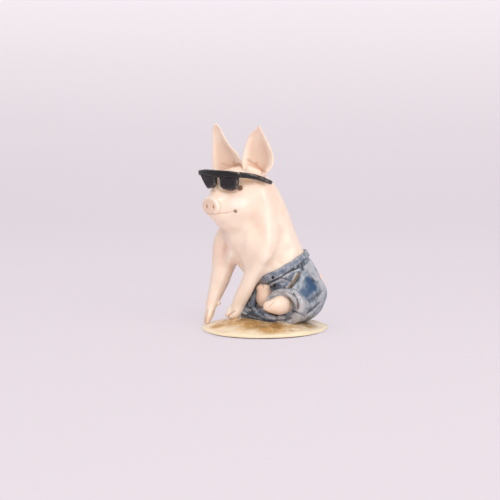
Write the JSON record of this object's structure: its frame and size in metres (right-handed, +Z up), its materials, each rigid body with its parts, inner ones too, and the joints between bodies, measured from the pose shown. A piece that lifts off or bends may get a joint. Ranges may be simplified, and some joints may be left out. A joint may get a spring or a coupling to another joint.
{
  "type": "pig figurine",
  "caption": "Hand-painted figurine of a cream-pink pig sitting upright in rolled blue jeans and black sunglasses, propped on its forelegs on a sandy oval base.",
  "frame": {"origin": "centre of the underside of the base pad", "axes": "+Z up, the pig faces -Y, its left is +X"},
  "size_m": [0.04, 0.0442, 0.071],
  "materials": {
    "skin": "satin-gloss hand-painted cream pink",
    "denim": "painted worn blue-grey denim",
    "cuff": "painted pale grey turned-up denim",
    "rivet": "dark painted stud",
    "black": "gloss black paint",
    "lens": "gloss black paint",
    "sand": "painted sand with an ochre wash",
    "pad": "dark felt"
  },
  "bodies": {
    "root": {"base_plate": "sand", "base_pad": "pad", "torso": "skin", "head": "skin", "left_ear": "skin", "right_ear": "skin", "left_foreleg": "skin", "right_foreleg": "skin", "left_hind_foot": "skin", "right_hind_foot": "skin", "tail": "skin", "jeans": "denim", "waistband": "denim", "belt_loops": "denim", "back_pockets": "denim", "left_cuff": "cuff", "right_cuff": "cuff", "pocket_rivets": "rivet", "sunglasses_frame": "black", "left_temple": "black", "right_temple": "black", "left_lens": "lens", "right_lens": "lens"}
  },
  "joints": []
}
